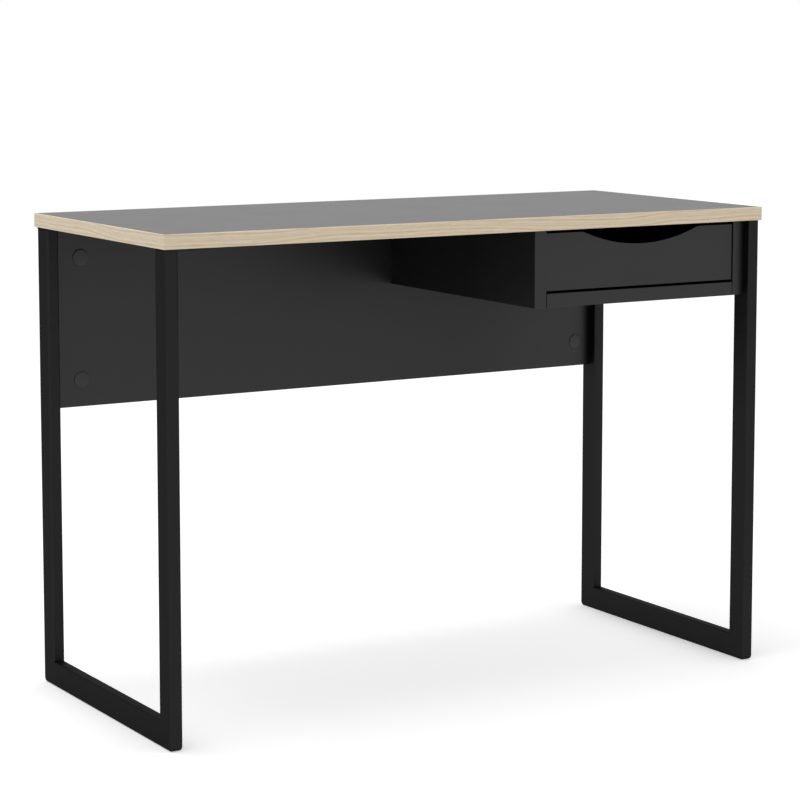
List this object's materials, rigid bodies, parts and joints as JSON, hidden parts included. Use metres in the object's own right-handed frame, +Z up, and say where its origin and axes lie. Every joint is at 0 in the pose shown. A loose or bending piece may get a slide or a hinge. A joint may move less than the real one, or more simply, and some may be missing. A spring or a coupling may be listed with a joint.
{
  "type": "writing desk",
  "caption": "Writing desk: oak-edged black board top on sled frames of steel tube, with a modesty panel and a roller-runner drawer with a scooped hand-hold.",
  "frame": {"origin": "on the floor, under the middle of the top", "axes": "+X to the user's right, where the drawer is, +Y to the back, where the modesty panel is, +Z up"},
  "size_m": [1.09, 0.484, 0.765],
  "materials": {
    "black_board": "black matt melamine on chipboard",
    "box_board": "black foil on chipboard",
    "oak_band": "light oak decor, satin",
    "black_tube": "black powder coat, fine texture",
    "zinc": "zinc plated",
    "black_zinc": "black zinc plated",
    "cam_metal": "cast zinc, bare",
    "runner_coat": "light epoxy coat",
    "nylon": "natural nylon",
    "black_cap": "black polyethylene",
    "beech": "bare beech",
    "hardboard": "dark lacquered hardboard"
  },
  "bodies": {
    "desk": {"case_bottom": "black_board", "case_cam_bolts": "zinc", "case_cam_drums": "cam_metal", "case_dowels": "beech", "case_left_roller_pin": "zinc", "case_left_runner": "runner_coat", "case_left_side": "black_board", "case_right_roller_pin": "zinc", "case_right_runner": "runner_coat", "case_right_side": "black_board", "case_runner_screws": "zinc", "left_back_leg": "black_tube", "left_back_leg_plate": "black_tube", "left_bottom_rail": "black_tube", "left_front_leg": "black_tube", "left_front_leg_plate": "black_tube", "leg_plate_screws": "black_zinc", "leg_weld_nuts": "zinc", "modesty_cam_bolts": "zinc", "modesty_cam_drums": "cam_metal", "modesty_cover_caps": "black_cap", "modesty_panel": "black_board", "right_back_leg": "black_tube", "right_bottom_rail": "black_tube", "right_frame_bolts": "zinc", "right_front_leg": "black_tube", "top_band_back": "oak_band", "top_band_front": "oak_band", "top_band_left": "oak_band", "top_band_right": "oak_band", "top_board": "black_board"},
    "drawer": {"drawer_back": "box_board", "drawer_back_screws": "zinc", "drawer_bottom": "hardboard", "drawer_bottom_screws": "zinc", "drawer_cam_bolts": "zinc", "drawer_cam_drums": "cam_metal", "drawer_dowels": "beech", "drawer_front": "black_board", "drawer_left_roller_pin": "zinc", "drawer_left_runner": "runner_coat", "drawer_left_side": "box_board", "drawer_right_roller_pin": "zinc", "drawer_right_runner": "runner_coat", "drawer_right_side": "box_board", "drawer_runner_screws": "zinc"},
    "case_roller_left": {"case_left_roller": "nylon"},
    "case_roller_right": {"case_right_roller": "nylon"},
    "drawer_roller_left": {"drawer_left_roller": "nylon"},
    "drawer_roller_right": {"drawer_right_roller": "nylon"}
  },
  "joints": [
    {"name": "drawer_slide", "type": "slide", "parent": "desk", "child": "drawer", "axis": [0, -1, 0], "range_m": [0, 0.3]},
    {"name": "case_roller_left_turn", "type": "hinge", "parent": "desk", "child": "case_roller_left", "pos_m": [0.1338, -0.1908, 0.6613], "axis": [1, 0, 0], "range_deg": [0, 1910]},
    {"name": "case_roller_right_turn", "type": "hinge", "parent": "desk", "child": "case_roller_right", "pos_m": [0.4932, -0.1908, 0.6613], "axis": [1, 0, 0], "range_deg": [0, 1910]},
    {"name": "drawer_roller_left_turn", "type": "hinge", "parent": "drawer", "child": "drawer_roller_left", "pos_m": [0.1338, 0.1832, 0.6613], "axis": [1, 0, 0], "range_deg": [0, 1910]},
    {"name": "drawer_roller_right_turn", "type": "hinge", "parent": "drawer", "child": "drawer_roller_right", "pos_m": [0.4932, 0.1832, 0.6613], "axis": [1, 0, 0], "range_deg": [0, 1910]}
  ],
  "couplings": [
    {"joint": "case_roller_left_turn", "follows": "drawer_slide", "rad_per_m": 111.11},
    {"joint": "case_roller_right_turn", "follows": "drawer_slide", "rad_per_m": 111.11},
    {"joint": "drawer_roller_left_turn", "follows": "drawer_slide", "rad_per_m": 111.11},
    {"joint": "drawer_roller_right_turn", "follows": "drawer_slide", "rad_per_m": 111.11}
  ]
}
